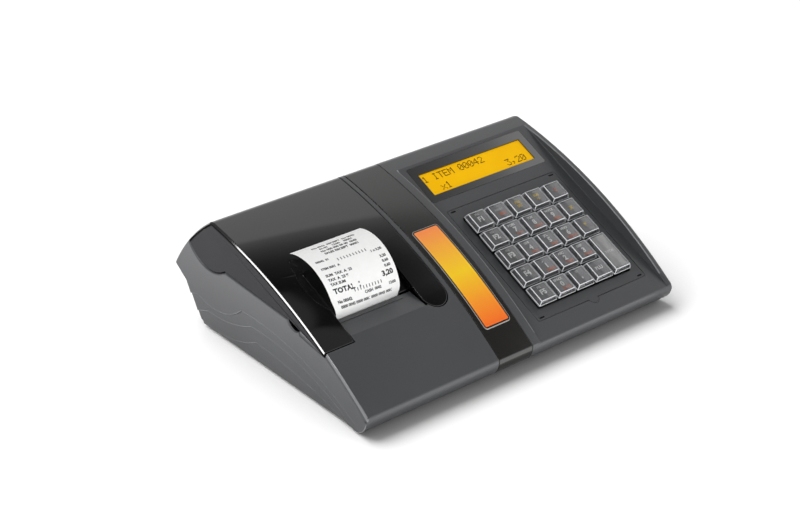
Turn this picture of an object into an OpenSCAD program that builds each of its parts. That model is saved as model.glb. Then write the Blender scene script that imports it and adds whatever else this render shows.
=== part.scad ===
// Compact desk cash register: wedge body with a drop-in receipt printer under a
// hinged gloss cover on the left, a gloss centre strip, and a sunken deck on the
// right with a display and twenty-four keys. X is width, Y runs to the back, Z is up.
// The origin is the middle of the footprint on the table.

/* [Body] */
// Overall width
body_w = 305; // [296:1:320]
// Overall depth, front lip to rear nose
body_d = 237; // [232:1:242]
// Height of the crest above the table
crest_z = 99.4; // [98:0.2:102]
// Distance of the crest in front of the rear nose
crest_setback = 53.5; // [51:0.5:56]
// Radius of the long top curve
top_r = 413; // [400:1:430]
// Radius of the rear slope
rear_r = 184; // [170:1:200]
// Rounding of the crest
crest_r = 9; // [6:0.5:12]
// Height of the top edge of the front lip
lip_z = 18.9; // [18:0.1:20]
// Height of the flat band at the top of the front lip
lip_h = 1.9; // [1.5:0.1:3]
// Run of the undercut below the front lip
toe_run = 12.5; // [10:0.5:16]
// Height of the rear nose
nose_z = 44; // [42:0.5:46]
// Run of the undercut below the rear nose
heel_run = 32.5; // [30:0.5:36]
// Run of the shelf right under the rear nose
shelf_run = 14.5; // [12:0.5:16]
// Drop of the shelf along its run
shelf_drop = 10.5; // [9:0.5:12]
// Wall of the two housings
wall = 2.6; // [2.2:0.1:3]
// Depth of each moulded step of the side panels
step_depth = 0.8; // [0.4:0.1:1.2]
// Height of the rubber feet
foot_h = 2; // [1.5:0.1:3]

/* [Sections] */
// Width of the printer section
printer_w = 123.6; // [122:0.2:126]
// Width of the centre strip
strip_w = 33.4; // [30:0.2:36]
// Thickness of the centre strip
strip_t = 2; // [1.6:0.1:2.4]
// Gap on each side of the centre strip
strip_gap = 0.45; // [0.2:0.05:0.6]

/* [Deck] */
// Width of the rim between the strip and the deck
rim_left = 8; // [7:0.5:9]
// Width of the rim on the right of the deck
rim_right = 5.5; // [5:0.5:7]
// Share of the body's depth that the deck takes
deck_share = 0.7046; // [0.7:0.002:0.71]

/* [Label] */
// Width of the blank label plate
label_w = 25; // [20:0.5:27]
// Length of the label plate, measured level
label_run = 86.5; // [70:0.5:90]
// Distance of the label's front edge behind the lip
label_setback = 20; // [16:0.5:30]
// Thickness of the label plate
label_t = 0.5; // [0.3:0.1:0.8]

/* [Printer cover] */
// Wall of the gloss cover
cover_t = 2.6; // [2.2:0.1:3]
// Radius of the round rear end of the cheek
lobe_r = 32.1; // [31.8:0.1:32.4]
// Hinge axis, distance in front of the rear nose
hinge_setback = 46.7; // [46:0.1:47.4]
// Hinge axis, height
hinge_z = 88; // [87.5:0.1:88.5]
// Radius of the hinge pins
hinge_pin_r = 1.25; // [1:0.05:1.4]
// Seam between the cover and the housing
seam = 0.8; // [0.7:0.1:1]
// Width of the border beside the strip that the cover leaves free
border_w = 4.6; // [4:0.2:6]

/* [Paper] */
// Width of the receipt paper
paper_w = 57; // [56:0.5:58]
// Modelled thickness of the paper
paper_t = 0.25; // [0.15:0.05:0.3]
// Radius of the paper roll
roll_r = 29.5; // [24:0.5:29.5]
// Radius of the roll's core
core_r = 6; // [5:0.5:8]
// Middle of the paper path, distance from the left wall
paper_setback = 56.5; // [56:0.5:57.5]

/* [Printer drive] */
// Radius of the platen roller
platen_r = 6; // [5.6:0.1:6]
// Radius of the platen shaft
shaft_r = 2; // [1.5:0.1:2.2]
// Gear module
gear_module = 0.75; // [0.7:0.01:0.78]
// Teeth of the platen gear
platen_teeth = 14; // [13:1:14]
// Teeth of the idler gear
idler_teeth = 22; // [20:1:24]
// Teeth of the motor pinion
pinion_teeth = 10; // [9:1:11]
// Face width of the gears
gear_w = 3; // [2:0.2:3.4]
// Radius of the stepper motor
motor_r = 10; // [8:0.5:11]

/* [Keyboard] */
// Gap between two keys
key_gap = 1.73; // [1.2:0.01:2.4]
// Inward run of a key's left and right sides
key_taper_x = 1.85; // [1.4:0.05:2.2]
// Inward run of a key's front and back sides
key_taper_v = 1.55; // [1.2:0.05:2]
// Height of the key tops above the deck
key_rise = 6.4; // [5:0.1:7]
// Key travel
key_travel = 2.5; // [1.5:0.1:2.6]
// Distance of the key block's front edge behind the lip, along the deck
key_setback = 26.4; // [24:0.2:28]
// Thickness of the keyboard frame plate
frame_t = 2; // [1.6:0.1:2.2]
// Margin of the keyboard frame beside the key block
frame_margin = 8.2; // [7:0.2:9]
// Margin of the keyboard frame in front of the key block
frame_front = 10; // [9:0.5:11]
// Margin of the keyboard frame behind the key block
frame_back = 11; // [9:0.5:12]
// Distance of the keyboard frame from the side walls of the deck
frame_side = 10.6; // [9:0.1:12]
// Gap around the keyboard frame
frame_gap = 0.3; // [0.15:0.05:0.4]

/* [Display] */
// Distance of the display bezel from the side walls of the deck
bezel_side = 7.75; // [7:0.25:9]
// Height of the display bezel, along the deck
bezel_h = 37; // [34:0.5:37.5]
// Distance between the keyboard frame and the display bezel
bezel_gap = 11.7; // [10:0.1:13]
// Thickness of the display bezel
bezel_t = 2; // [1.6:0.1:2.2]
// Border of the bezel on the left and right of the display
lcd_border = 6.5; // [6:0.1:8]
// Height of the visible display
lcd_h = 22.6; // [20:0.2:24]
// Depth of the display glass below the bezel's face
lcd_sink = 0.9; // [0.6:0.1:1.2]
// Width of the customer display window
customer_w = 78; // [60:1:90]
// Height of the customer display window
customer_h = 24; // [20:0.5:26]

/* [Hidden] */
$fn = 96;
fit = 0.15;
big = 700;
touch = 0.01;
xl = -body_w / 2;
xr = body_w / 2;
lip_y = -body_d / 2;
nose_y = body_d / 2;
strip_x0 = xl + printer_w;
strip_x1 = strip_x0 + strip_w;
lip = [lip_y, lip_z];
crest = [nose_y - crest_setback, crest_z];
nose = [nose_y, nose_z];
heel = [nose_y - heel_run, foot_h];
knee = nose - [shelf_run, shelf_drop];
lip_rise = lip_z - lip_h - foot_h;
lip_r = (toe_run * toe_run + lip_rise * lip_rise) / (2 * toe_run);
lip_c = [lip_y + lip_r, lip_z - lip_h];
hinge = [nose_y - hinge_setback, hinge_z];
lobe = hinge + [-2.3, 1.5];
floor_z = foot_h + wall;

// Centre of the circle of radius r through a and b, on the right of the way from a to b
function arc_centre(a, b, r) =
    let (d = b - a, l = norm(d))
    (a + b) / 2 + [d[1], -d[0]] / l * sqrt(r * r - l * l / 4);

// Upper crossing of two circles
function circle_cross(c1, r1, c2, r2) =
    let (d = c2 - c1, l = norm(d), a = (r1 * r1 - r2 * r2 + l * l) / (2 * l))
    let (h = sqrt(r1 * r1 - a * a), e = d / l)
    let (p = c1 + a * e + h * [-e[1], e[0]], q = c1 + a * e - h * [-e[1], e[0]])
    p[1] > q[1] ? p : q;

// Centre of the circle through three points
function circle_centre(a, b, c) =
    let (d = 2 * (a[0] * (b[1] - c[1]) + b[0] * (c[1] - a[1]) + c[0] * (a[1] - b[1])))
    let (sa = a * a, sb = b * b, sc = c * c)
    [(sa * (b[1] - c[1]) + sb * (c[1] - a[1]) + sc * (a[1] - b[1])) / d,
     (sa * (c[0] - b[0]) + sb * (a[0] - c[0]) + sc * (b[0] - a[0])) / d];

function unit(v) = v / norm(v);
function polar(r, a) = [r * cos(a), r * sin(a)];

// Angle by which a part of the paper path runs on into the next one
function lap(r) = paper_lap / r * 180 / PI;

top_c = arc_centre(lip, crest, top_r);
rear_c = arc_centre(crest, nose, rear_r);
crest_c = circle_cross(top_c, top_r - crest_r, rear_c, rear_r - crest_r);
crest_blend = 0.05;

// Height of the top curve at a depth
function top_at(y) = top_c[1] + sqrt(top_r * top_r - pow(y - top_c[0], 2));

// Sunken deck of the keyboard section: a flat chord from the lip to the display's back edge
deck_end_y = lip_y + deck_share * body_d;
deck_drop = 0.4;
deck_tilt = atan2(top_at(deck_end_y) - lip_z, deck_end_y - lip_y);
deck_run = (deck_end_y - lip_y) / cos(deck_tilt);
deck_wall = 3.2;
rim_slope = 0.05;
deck_x0 = strip_x1 + rim_left;
deck_x1 = xr - rim_right;
deck_w = deck_x1 - deck_x0;
deck_mid = (deck_x0 + deck_x1) / 2;

// Key block on the deck
key_cols = 5;
key_rows = 5;
bezel_v1 = deck_run - 1;
bezel_v0 = bezel_v1 - bezel_h;
bezel_mid = bezel_v0 + bezel_h / 2;
frame_w = deck_w - 2 * frame_side;
frame_v0 = key_setback - frame_front;
frame_v1 = bezel_v0 - bezel_gap;
frame_v = (frame_v0 + frame_v1) / 2;
block_w = frame_w - 2 * frame_margin;
block_mid = deck_mid + 0.75;
block_x0 = block_mid - block_w / 2;
block_v0 = key_setback;
block_l = frame_v1 - frame_back - block_v0;
pitch_x = (block_w + key_gap) / key_cols;
pitch_v = (block_l + key_gap) / key_rows;
key_sink = 0.8;
guide_top = -key_sink - key_travel - 0.6;
guide_t = 1.6;
guide_bottom = guide_top - guide_t;
stem = 6;
barb = 7.2;
stem_end = guide_bottom - 2.2;
mat_t = 1;
dome_h = 2.2;
mat_top = stem_end - 0.3 - dome_h;
board_t = 1.6;
board_top = mat_top - mat_t;
collar_t = 2;
block_v = block_v0 + block_l / 2;
key_play = 0.6;
tab_r = 4.5;
deck_clear = 20;
ledge = 0.8;
skirt_h = 1.4;

// Display on the deck
display_x = deck_mid - 1.25;
bezel_w = deck_w - 2 * bezel_side;
lcd_w = bezel_w - 2 * lcd_border;
lcd_v = bezel_v0 + 6.3 + lcd_h / 2;
lcd_flange = 3;
lcd_post_r = 2.2;
lcd_depth = 3.6;
lcd_back = -deck_wall - lcd_depth;

// Printer cover, seen from the left
cover_x1 = strip_x0 - border_w;
cover_front = -71.5;
leg_low = [cover_front - 4, 46];
cheek_bend = [-30, 59.6];
cheek_kink = [hinge[0] - 21.5, 63.9];
cheek_t = 2.8;
finger_notch = [-37, 62];
finger_r = 9;
paper_x = xl + paper_setback;
scoop_x0 = paper_x - paper_w / 2 - 1.5;
scoop_x1 = paper_x + paper_w / 2 + 12;
scoop_back = -12;
tear = [-49, 56.4];
ramp_foot = [-67.5, top_at(-67.5)];
tear_radius = norm(tear - hinge);
paper_gap = 0.5;
path_r = tear_radius - paper_gap;
scoop_front = tear[0] + paper_gap + 1;
scoop_low = tear[1] + 1.2;
scoop_a = atan2(top_at(scoop_back) - scoop_low, scoop_back - scoop_front);
bend_r = 14;
bend_a = atan2(tear[1] - hinge_z, tear[0] - hinge[0]) + 360 - 0.4;
bend_c = hinge + polar(path_r - paper_t - bend_r, bend_a);
curl_r = 38.7;
curl_a = 164;
curl_c = bend_c + polar(bend_r - curl_r, curl_a);
curl_end = 71;
paper_grow = 0.05;
paper_lap = 0.3;

// Platen below the tear edge, inside the radius that the opening cover sweeps
platen_z = 48;
platen_reach = path_r - paper_t - platen_r - 0.2;
platen_y = hinge[0] - sqrt(pow(platen_reach, 2) - pow(hinge_z - platen_z, 2));
platen = [platen_y, platen_z];
head_dir = 217;
idler_dir = -69;
pinion_dir = -120;
idler = platen + polar(gear_module * (platen_teeth + idler_teeth) / 2, idler_dir);
pinion = idler + polar(gear_module * (idler_teeth + pinion_teeth) / 2, pinion_dir);
idler_phase = idler_dir + 180 + 180 / idler_teeth;
idler_offset = (pinion_dir - idler_phase) * idler_teeth / 360;
pinion_a = pinion_dir + 180 + (0.5 + idler_offset - floor(idler_offset)) * 360 / pinion_teeth;
gear_x = paper_x + paper_w / 2 + 6.5;
motor_l = 13;

// Platen carrier and tear edge
ear_x = [scoop_x0 - 4.4, gear_x - 3.2];
ear_t = 2.6;
tooth_pitch = 1.5;
tooth_h = 0.9;
tear_n = 40;
tear_a = atan2(tear[1] - ramp_foot[1], tear[0] - ramp_foot[0]);

// Paper bin and roll
bin_r = roll_r + 1.5;
bin_t = 2;
bin_w = paper_w + 2;
bin_rear_h = 14;
bin_front_h = 9;
rib_y = 12;
rib_t = 2;
roll_y = 6;
bin_z = floor_z + 9.4 + bin_t + bin_r;
bin_c = [roll_y, bin_z];
roll_z = bin_z - bin_r + 0.3 + roll_r;
roll_c = [roll_y, roll_z];

// Paper web and print head
wrap_r = platen_r + 0.2;
web_way = roll_c - platen;
web_off = wrap_r + paper_t + roll_r + 0.15;
web_a = atan2(web_way[1], web_way[0]) + asin(web_off / norm(web_way));
web_l = sqrt(web_way * web_way - web_off * web_off);
wrap_a = atan2(hinge_z - platen_z, hinge[0] - platen_y) + 180;
bracket_x = 13;
bracket_t = 2.5;
head_gap = 0.4;
head_t = 3;
head_face = wrap_r + paper_t + head_gap;

// Printer chassis plates outside the bin
plate_t = 2.5;
plate_x = [paper_x - bin_w / 2 - 13.5, paper_x + bin_w / 2 + 9];
hub_r = 2.9;
notch_r = 4.2;
knuckle_l = 6;

// Base tray fittings
right_w = xr - strip_x1;
bay = [strip_x1 + 4, lip_y + 78.5, 0.419 * right_w, 70];
bay_h = 22;
door_t = 2;
port_w = 72;
port_x1 = xr - 14;
port_x0 = port_x1 - port_w;
port_y = nose_y - 34.5;
port_z = [6, 23.6];
main_board_z = 7;
main_x0 = bay[0] + bay[2] + 8;
main_x1 = xr - 15;
main_w = main_x1 - main_x0;
main_y0 = lip_y + 68.5;
main_y1 = port_y - wall - 1;
foot_r = 7;
foot_places = [for (x = [xl + 26, xr - 26], y = [lip_y + 32, heel[0] - 18]) [x, y]];
screw_places = [for (x = [xl + wall + step_depth * 3 + 4, xr - wall - step_depth * 3 - 4], 
    y = [lip_y + 40.5, nose_y - 60.5]) [x, y]];
screw_r = 1.5;
boss_r = 3.6;
boss_h = 15;
post_h = 13;
post_rib_w = 3;
post_rib_h = 3.5;
screw_l = 22;
screw_head = 1.6;
head_sink = 2;

// Side steps: front end, middle and rear end of each long curve, and the lobe behind it
step_front = [[lip_y + 9.5, 6], [lip_y + 21, 5], [lip_y + 24, 2.5]];
step_mid = [[-42, 33], [-30, 27.9], [-30, 14.9]];
step_kink = [[27.5, 39.2], [19.9, 30], [13.3, 18.3]];
lobe_c = [[68, 79], [70, 130], [70, 119]];
lobe_rs = [55, 112, 115];

// Customer display on the rear slope
customer_a = atan2((crest + nose)[1] / 2 - rear_c[1], (crest + nose)[0] / 2 - rear_c[0]);
customer_p = rear_c + polar(rear_r - 0.5, customer_a);
customer_t = 1.2;

// Rear sockets
socket_y = port_y - 12;
socket_z = main_board_z + board_t;

// Stretches a side view, drawn with depth and height, from one width to another
module along_x(x0, x1)
    translate([x0, 0, 0]) rotate([90, 0, 90]) linear_extrude(x1 - x0) children();

// Everything on the left of the way that leaves p at angle a
module half_plane(p, a, inset = 0)
    translate(p) rotate(a) translate([-big, inset]) square([2 * big, big]);

module disc(c, r) translate(c) circle(r);

// Body outline in side view, moved in by the inset
module side_profile(inset = 0) {
    up = unit(crest_c - top_c);
    back = unit(crest_c - rear_c);
    difference() {
        intersection() {
            translate(top_c) circle(top_r - inset, $fn = 400);
            translate(rear_c) circle(rear_r - inset, $fn = 300);
            half_plane([0, foot_h], 0, inset);
            union() {
                half_plane(knee, atan2(shelf_drop, shelf_run), inset);
                half_plane(heel, atan2(knee[1] - foot_h, knee[0] - heel[0]), inset);
            }
            union() {
                disc(lip_c, lip_r - inset, $fn = 200);
                half_plane(lip_c, -90);
            }
        }
        difference() {
            polygon([crest_c, crest_c + 3 * crest_r * up, crest_c + 5 * crest_r * unit(up + back),
                crest_c + 3 * crest_r * back]);
            disc(crest_c, crest_r + crest_blend - inset);
        }
    }
}

// Moulded side steps: each is the area under a long curve, less a round lobe at the rear.
// The first one is also the seam between the two housings.

module step_area(n, grow = 0) {
    c = circle_centre(step_front[n], step_mid[n], step_kink[n]);
    difference() {
        disc(c, norm(step_mid[n] - c) + grow, $fn = 200);
        disc(lobe_c[n], lobe_rs[n] - grow, $fn = 200);
    }
}

// Frame of the sunken deck: X as the body, Y up the deck, Z out of it
module on_deck() translate([0, lip_y, lip_z - deck_drop]) rotate([deck_tilt, 0, 0]) children();

module rounded(w, l, r) {
    square([w, l - 2 * r], center = true);
    square([w - 2 * r, l], center = true);
    for (x = [-1, 1], y = [-1, 1]) translate([x * (w / 2 - r), y * (l / 2 - r)]) circle(r, $fn = 32);
}

// Plate on the deck, from one level to another
module deck_plate(x, v, w, l, low, high, r = 1.5)
    on_deck() translate([x, v, low]) linear_extrude(high - low) rounded(w, l, r);

// Block above a level of the deck, with the sloped inner walls of the rims
module deck_block(level, margin = 0, high = 30)
    on_deck() translate([0, 2 * deck_run, 0]) rotate([90, 0, 0]) linear_extrude(3 * deck_run)
        polygon([[deck_x0 - margin - rim_slope * level, level], [deck_x1 + margin + rim_slope * level, level],
            [deck_x1 + margin + rim_slope * high, high], [deck_x0 - margin - rim_slope * high, high]]);

// Area that the printer cover takes in side view
module cover_area(grow = 0) {
    disc(lobe, lobe_r + grow);
    polygon([leg_low - [grow, grow], cheek_bend - [0, grow], cheek_kink - [0, grow],
        [hinge[0], hinge_z], [hinge[0], hinge_z + 40], [leg_low[0] - grow, hinge_z + 40]]);
}

// Top view of the cover: full width at the rear, two legs at the front beside the paper
module cover_plan(grow = 0) {
    leg_r = (cover_x1 - scoop_x1) / 2;
    translate([xl - 1, cover_front + leg_r]) square([cover_x1 + grow - xl + 1, nose_y - cover_front]);
    translate([xl - 1, cover_front - grow]) square([scoop_x0 + grow - xl + 1, 2 * leg_r]);
    translate([scoop_x1 + leg_r, cover_front + leg_r]) circle(leg_r + grow, $fn = 64);
}

// Space of the cover, open between its legs for the paper
module cover_space() linear_extrude(crest_z + 5) difference() {
    cover_plan();
    translate([scoop_x0, lip_y]) square([scoop_x1 - scoop_x0, scoop_front - lip_y]);
}

module base_tray() color("dimgray") difference() {
    union() {
        difference() {
            along_x(xl + step_depth, xr - step_depth) intersection() {
                side_profile();
                step_area(0, -fit / 2);
            }
            along_x(xl + 3 * step_depth + wall, xr - 3 * step_depth - wall) side_profile(wall);
            for (n = [1, 2], s = [[xl - 1, xl + step_depth * (n + 1)], [xr - step_depth * (n + 1), xr + 1]])
                along_x(s[0], s[1]) step_area(n);
        }
        // Walls around the rear socket recess
        intersection() {
            along_x(port_x0 - wall, port_x1 + wall) side_profile();
            translate([port_x0 - wall, port_y - wall, foot_h])
                cube([port_x1 - port_x0 + 2 * wall, 60, port_z[1] + wall - foot_h]);
            along_x(port_x0 - wall, port_x1 + wall) step_area(0, -fit / 2);
        }
        // Battery bay
        translate([bay[0] - wall, bay[1] - wall, foot_h])
            cube([bay[2] + 2 * wall, bay[3] + 2 * wall, bay_h + wall]);
        for (p = screw_places) translate([p[0], p[1], foot_h]) cylinder(h = boss_h, r = boss_r);
        for (x = [main_x0 + 4, main_x1 - 4], y = [main_y0 + 6, main_y1 - 20])
            translate([x, y, foot_h + touch]) cylinder(h = main_board_z - foot_h - touch, r = 3);
        // Seat of the paper bin
        for (y = [roll_y - rib_y - rib_t, roll_y + rib_y]) translate([paper_x - bin_w / 2, y, foot_h])
            cube([bin_w, rib_t, bin_z - foot_h - sqrt(pow(bin_r + bin_t, 2) - rib_y * rib_y)]);
    }
    translate([port_x0, port_y, port_z[0]]) cube([port_x1 - port_x0, 60, port_z[1] - port_z[0]]);
    // Openings for the sockets
    translate([port_x0 + 2, port_y - wall - 1, main_board_z + board_t - 0.4])
        cube([port_x1 - port_x0 - 4, wall + 2, 13.4]);
    translate([bay[0], bay[1], foot_h - 1]) cube([bay[2], bay[3], bay_h + 1]);
    translate([bay[0] - 1, bay[1] - 1, foot_h - 1]) cube([bay[2] + 2, bay[3] + 2, door_t + 1]);
    for (p = foot_places) translate([p[0], p[1], foot_h - 1]) cylinder(h = 2, r = foot_r + fit);
    for (p = screw_places) translate([p[0], p[1], foot_h - 1]) {
        cylinder(h = 30, r = screw_r + fit);
        cylinder(h = 1 + head_sink + screw_head, r = 2 * screw_r + fit);
    }
    // Cooling slots
    for (i = [0:8]) translate([main_x0 + 10 + i * (main_w - 19) / 8, main_y0 + 30, foot_h - 1])
        cube([2, 30, wall + 2]);
}

module upper_housing() color("dimgray") difference() {
    union() {
        difference() {
            along_x(xl, xr) side_profile();
            difference() {
                union() {
                    along_x(xl + wall, cover_x1 + seam) side_profile(wall);
                    along_x(strip_x0 - wall, strip_x1 + wall) side_profile(wall + strip_t);
                    along_x(strip_x1 + wall, xr - wall) side_profile(wall);
                }
                deck_block(-deck_wall, deck_wall);
            }
            along_x(strip_x0, strip_x1) difference() {
                side_profile(-1);
                side_profile(strip_t + 0.05);
            }
            deck_block(0);
            intersection() {
                along_x(xl - 1, cover_x1 + seam) cover_area(seam);
                linear_extrude(crest_z + 5) {
                    cover_plan(seam);
                    translate([scoop_x0 - 1, ramp_foot[0]]) square([scoop_x1 - scoop_x0 + 2, 40]);
                }
            }
            along_x(xl - 1, xl + wall + 1) disc(finger_notch, finger_r);
            along_x(xl - 1, xr + 1) step_area(0, fit / 2);
        }
        // Ramp up to the tear edge, between the cover's legs
        along_x(scoop_x0 + seam, scoop_x1 - seam) polygon([ramp_foot - [5, 3.1], ramp_foot, tear,
            tear - [0, 2.4], ramp_foot - [-1, 3], ramp_foot - [3, 12], ramp_foot - [5, 12]]);
        // Screw posts beside the side walls
        for (p = screw_places) intersection() {
            translate([p[0], p[1], foot_h + boss_h + touch]) cylinder(h = post_h, r = boss_r);
            along_x(xl, xr) side_profile(0.5);
        }
        for (p = screw_places) translate([p[0] < 0 ? xl + wall - 0.5 : p[0], p[1] - post_rib_w / 2,
            foot_h + boss_h + post_h - post_rib_h])
            cube([xr - wall + 0.5 - abs(p[0]), post_rib_w, post_rib_h]);
        // Posts behind the display
        for (x = [-1, 1], v = [-1, 1]) on_deck()
            translate([display_x + x * bezel_w / 2, bezel_mid + v * (lcd_h / 2 + 5), lcd_back])
                cylinder(h = lcd_depth + 1, r = lcd_post_r);
    }
    for (p = screw_places) translate([p[0], p[1], foot_h]) cylinder(h = screw_l + 3, r = screw_r);
    // Keyboard frame seat and well
    deck_plate(block_mid, frame_v, frame_w + 2 * frame_gap, frame_v1 - frame_v0 + 2 * frame_gap,
        -frame_t, deck_clear, 2);
    on_deck() translate([block_mid, frame_v0, -frame_t]) cylinder(h = deck_clear, r = tab_r + frame_gap);
    block_plate(collar_t + 1, -deck_clear, deck_clear);
    // Display seat and window
    deck_plate(display_x, bezel_mid, bezel_w + 2 * fit, bezel_h + 2 * fit, -bezel_t, deck_clear, 2);
    deck_plate(display_x, lcd_v, lcd_w + 2 * lcd_flange + 1, lcd_h + 2 * lcd_flange + 1,
        -deck_clear, deck_clear);
    customer_place() {
        translate([0, 0, -customer_t]) linear_extrude(20)
            rounded(customer_w + 2 * fit, customer_h + 2 * fit, 2);
        translate([0, 0, -12]) linear_extrude(20) rounded(customer_w - 8, customer_h - 8, 1);
    }
}

// Flat seat of the customer display
module customer_place()
    translate([display_x, customer_p[0], customer_p[1]]) rotate([customer_a - 90, 0, 0]) children();

module customer_window() color("black") customer_place()
    translate([0, 0, -customer_t]) linear_extrude(customer_t) rounded(customer_w, customer_h, 2);

module customer_lcd() color("olive") customer_place() translate([0, 0, -customer_t - 3.4])
    linear_extrude(3.3) rounded(customer_w - 9, customer_h - 9, 1);

module centre_strip() color("black") along_x(strip_x0 + strip_gap, strip_x1 - strip_gap) difference() {
    side_profile();
    side_profile(strip_t);
    step_area(0, fit / 2);
}

module label_plate() color("orange") intersection() {
    along_x(strip_x0, strip_x1) difference() {
        side_profile(-label_t);
        side_profile(0);
    }
    translate([(strip_x0 + strip_x1) / 2, lip_y + label_setback + label_run / 2, lip_z])
        linear_extrude(crest_z) rounded(label_w, label_run, 2.5);
}

module rubber_feet() color("black") for (p = foot_places)
    translate([p[0], p[1], 0]) cylinder(h = foot_h + 1, r = foot_r);

module case_screws() color("silver") for (p = screw_places) translate([p[0], p[1], foot_h + head_sink]) {
    cylinder(h = screw_head, r = 2 * screw_r - 0.2);
    cylinder(h = screw_l, r = screw_r);
}

module battery_pack() color("royalblue")
    translate([bay[0] + 1, bay[1] + 1, foot_h + door_t]) cube([bay[2] - 2, bay[3] - 2, bay_h - door_t - 1]);

module battery_door() color("dimgray") difference() {
    translate([bay[0] - 1 + fit, bay[1] - 1 + fit, foot_h])
        cube([bay[2] + 2 - 2 * fit, bay[3] + 2 - 2 * fit, door_t]);
    for (i = [0:4]) translate([bay[0] + bay[2] / 2 - 10, bay[1] + 6 + i * 3, foot_h - 1])
        cube([20, 1.2, 1.8]);
}

module main_board() color("darkgreen") translate([main_x0, main_y0, main_board_z]) {
    cube([main_w, main_y1 - main_y0, board_t]);
    for (i = [0, 1]) translate([0.2 * main_w, 20 + i * 34, board_t]) cube([0.27 * main_w, 16, 1.8]);
    translate([0.6 * main_w, 14, board_t]) cube([0.36 * main_w, 10, 4]);
}

module dc_inlet() color("black") difference() {
    translate([port_x1 - 16, socket_y, socket_z]) cube([9, 13, 11]);
    translate([port_x1 - 11.5, socket_y + 4, socket_z + 6]) rotate([-90, 0, 0]) cylinder(h = 20, r = 2.8);
}

module port_sockets() color("black") for (i = [0:2]) difference() {
    translate([port_x0 + 5 + i * 17, socket_y, socket_z]) cube([14, 13, 12]);
    translate([port_x0 + 6.5 + i * 17, socket_y + 5, socket_z + 2.5]) cube([11, 10, 7]);
}

// Gloss cover: a shell over the printer with a scoop behind the paper and two hinge notches
module printer_cover() color("black") difference() {
    union() {
        intersection() {
            along_x(xl, cover_x1) intersection() {
                side_profile();
                cover_area();
            }
            cover_space();
            difference() {
                along_x(xl, cover_x1) side_profile(-1);
                along_x(xl - 1, cover_x1 - cover_t) side_profile(cover_t);
            }
        }
        // Scoop floor between two side walls
        along_x(scoop_x0 - cover_t, scoop_x1 + cover_t) difference() {
            intersection() {
                side_profile(touch);
                half_plane([scoop_front, 0], -90);
                half_plane([scoop_back + 8, 0], 90);
            }
            half_plane([scoop_front, scoop_low - cover_t], 180 + scoop_a);
        }
        // Hinge knuckles under the skin
        for (x = plate_x, k = [x - seam - knuckle_l, x + plate_t + seam])
            along_x(k, k + knuckle_l) intersection() {
                disc(hinge, hub_r + 2);
                side_profile(touch);
            }
    }
    along_x(scoop_x0, scoop_x1) difference() {
        square(2 * big, center = true);
        half_plane([scoop_front, scoop_low], 180 + scoop_a);
        half_plane([scoop_back, 0], -90);
    }
    for (x = plate_x) {
        along_x(x - seam, x + plate_t + seam) disc(hinge, notch_r);
        along_x(x - 2 * knuckle_l, x + plate_t + 2 * knuckle_l) disc(hinge, hinge_pin_r + 0.05);
    }
}

module cover_cheek() color("dimgray") along_x(xl, xl + cheek_t) intersection() {
    side_profile(cover_t);
    cover_area();
    half_plane([cover_front, 0], -90);
}

// Platen carrier under the scoop: two ears and a bar
module cover_frame() color("dimgray") {
    difference() {
        for (x = ear_x) along_x(x, x + ear_t) intersection() {
            union() {
                disc(platen, 4.2);
                polygon([platen - [4, 0], platen + [4, -1], platen + [22, 30], platen + [4, 30]]);
            }
            half_plane([scoop_front, scoop_low - cover_t], 180 + scoop_a);
        }
        along_x(ear_x[0] - 1, ear_x[1] + ear_t + 1) disc(platen, shaft_r + 0.05);
    }
    along_x(ear_x[0] + touch, ear_x[1] + ear_t - touch) translate([scoop_front, scoop_low - cover_t])
        rotate(scoop_a) translate([18, -3]) square([7, 3]);
}

module hinge_pins() color("silver") for (x = plate_x)
    along_x(x - seam - knuckle_l + 0.5, x + plate_t + seam + knuckle_l - 0.5) disc(hinge, hinge_pin_r);

// Serrated strip along the tear edge
module tear_bar() color("silver") translate([paper_x, tear[0], tear[1] + touch]) rotate([tear_a, 0, 0])
    linear_extrude(0.5) polygon(concat([[tear_n / 2 * tooth_pitch, -4], [-tear_n / 2 * tooth_pitch, -4]],
        [for (i = [0:2 * tear_n]) [(i - tear_n) / 2 * tooth_pitch, i % 2 == 1 ? 0 : -tooth_h]]));

// Part of the paper path: a thin ring around c, from one angle to a larger one
module paper_arc(c, r, from, to, grow = 0)
    intersection() {
        difference() {
            translate(c) circle(r + paper_t + grow, $fn = 300);
            translate(c) circle(r - grow, $fn = 300);
        }
        half_plane(c, from);
        half_plane(c, to + 180);
    }

// Receipt: off the roll, under the platen, up past the tear edge and curled to the back
module receipt_paper() color("white") along_x(paper_x - paper_w / 2, paper_x + paper_w / 2) {
    paper_arc(curl_c, curl_r, curl_end, curl_a + lap(curl_r));
    paper_arc(bend_c, bend_r, curl_a, bend_a, paper_grow);
    paper_arc(hinge, path_r - paper_t, bend_a - lap(path_r), wrap_a + lap(path_r));
    paper_arc(platen, wrap_r, wrap_a, web_a + 270, paper_grow);
    translate(platen) rotate(web_a) translate([-paper_lap, -wrap_r - paper_t])
        square([web_l + paper_lap, paper_t]);
}

module paper_roll() color("white") along_x(paper_x - paper_w / 2, paper_x + paper_w / 2) difference() {
    disc(roll_c, roll_r);
    disc(roll_c, core_r + 0.02);
}

module roll_core() color("tan") along_x(paper_x - paper_w / 2, paper_x + paper_w / 2) difference() {
    disc(roll_c, core_r);
    disc(roll_c, core_r - 1.2);
}

// Side view of the bin: a round trough, open at the front, with an upright rear wall
module bin_area(grow) difference() {
    union() {
        disc(bin_c, bin_r + grow);
        translate(bin_c) square([bin_r + grow, bin_rear_h]);
    }
    translate([roll_y - big, bin_z - bin_front_h]) square(big);
    translate([roll_y - touch, bin_z + bin_rear_h]) square(big);
}

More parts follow.
